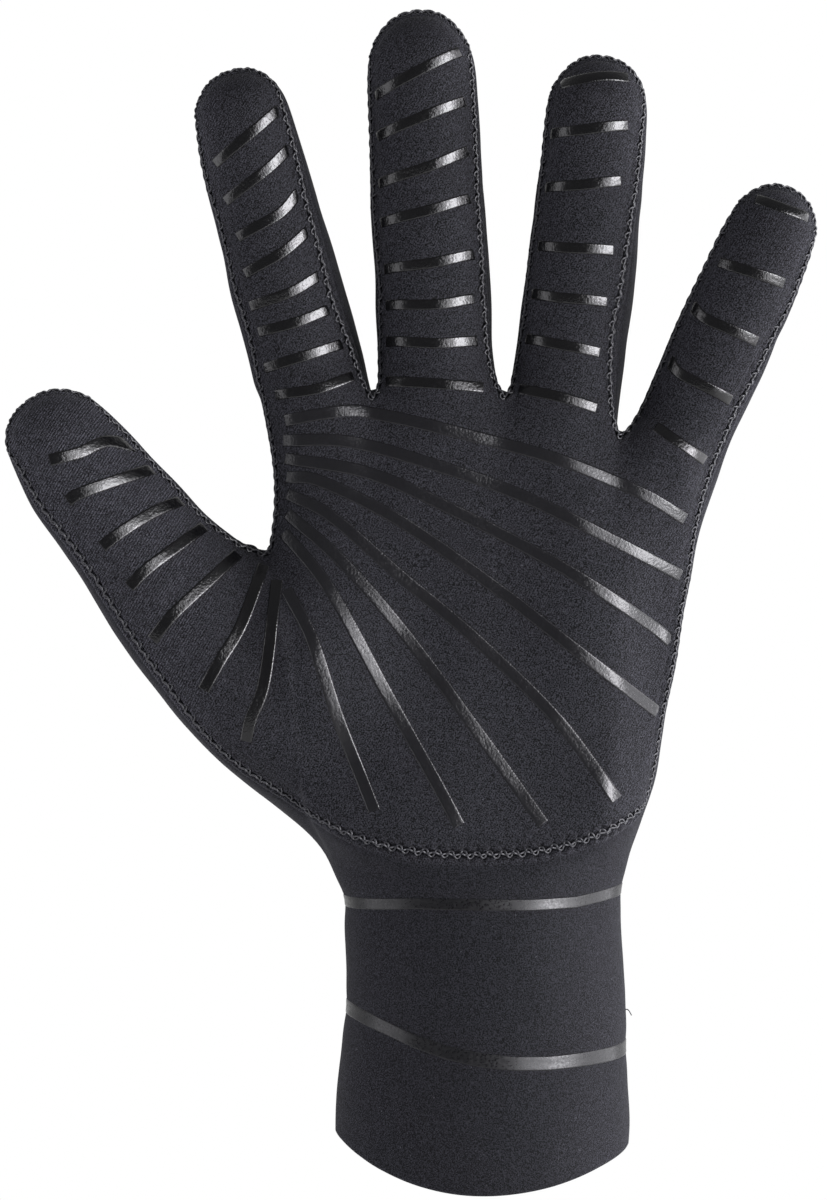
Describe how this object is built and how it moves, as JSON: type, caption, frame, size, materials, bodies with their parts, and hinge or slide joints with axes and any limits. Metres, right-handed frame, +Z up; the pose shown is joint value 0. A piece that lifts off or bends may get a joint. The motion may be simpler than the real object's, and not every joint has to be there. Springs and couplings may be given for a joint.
{
  "type": "cycling glove",
  "caption": "Left-hand long-cuffed cycling glove in black foam cloth, shown worn, with raised silicone grip stripes on the palm and fingers and bands on the cuff",
  "frame": {"origin": "centre of the cuff's mouth, at the height of the hem's lowest point", "axes": "+Z up along the middle finger; the palm faces -Y; the thumb points towards -X"},
  "size_m": [0.1759, 0.0532, 0.2547],
  "materials": {
    "palm_cloth": "matte knit-faced foam rubber, black",
    "back_cloth": "matte knit-faced foam rubber, black",
    "silicone_grip": "glossy dark silicone"
  },
  "bodies": {
    "root": {"palm_panel": "palm_cloth", "back_panel": "back_cloth", "index_grip_1": "silicone_grip", "index_grip_2": "silicone_grip", "index_grip_3": "silicone_grip", "index_grip_4": "silicone_grip", "index_grip_5": "silicone_grip", "index_grip_6": "silicone_grip", "index_grip_7": "silicone_grip", "index_grip_8": "silicone_grip", "middle_grip_1": "silicone_grip", "middle_grip_2": "silicone_grip", "middle_grip_3": "silicone_grip", "middle_grip_4": "silicone_grip", "middle_grip_5": "silicone_grip", "middle_grip_6": "silicone_grip", "middle_grip_7": "silicone_grip", "middle_grip_8": "silicone_grip", "ring_grip_1": "silicone_grip", "ring_grip_2": "silicone_grip", "ring_grip_3": "silicone_grip", "ring_grip_4": "silicone_grip", "ring_grip_5": "silicone_grip", "ring_grip_6": "silicone_grip", "ring_grip_7": "silicone_grip", "pinky_grip_1": "silicone_grip", "pinky_grip_2": "silicone_grip", "pinky_grip_3": "silicone_grip", "pinky_grip_4": "silicone_grip", "pinky_grip_5": "silicone_grip", "thumb_grip_1": "silicone_grip", "thumb_grip_2": "silicone_grip", "thumb_grip_3": "silicone_grip", "thumb_grip_4": "silicone_grip", "thumb_grip_5": "silicone_grip", "thumb_grip_6": "silicone_grip", "thumb_grip_7": "silicone_grip", "palm_grip_1": "silicone_grip", "palm_grip_2": "silicone_grip", "palm_grip_3": "silicone_grip", "palm_grip_4": "silicone_grip", "palm_grip_5": "silicone_grip", "palm_grip_6": "silicone_grip", "palm_grip_7": "silicone_grip", "palm_grip_8": "silicone_grip", "cuff_band_upper": "silicone_grip", "cuff_band_lower": "silicone_grip"}
  },
  "joints": []
}
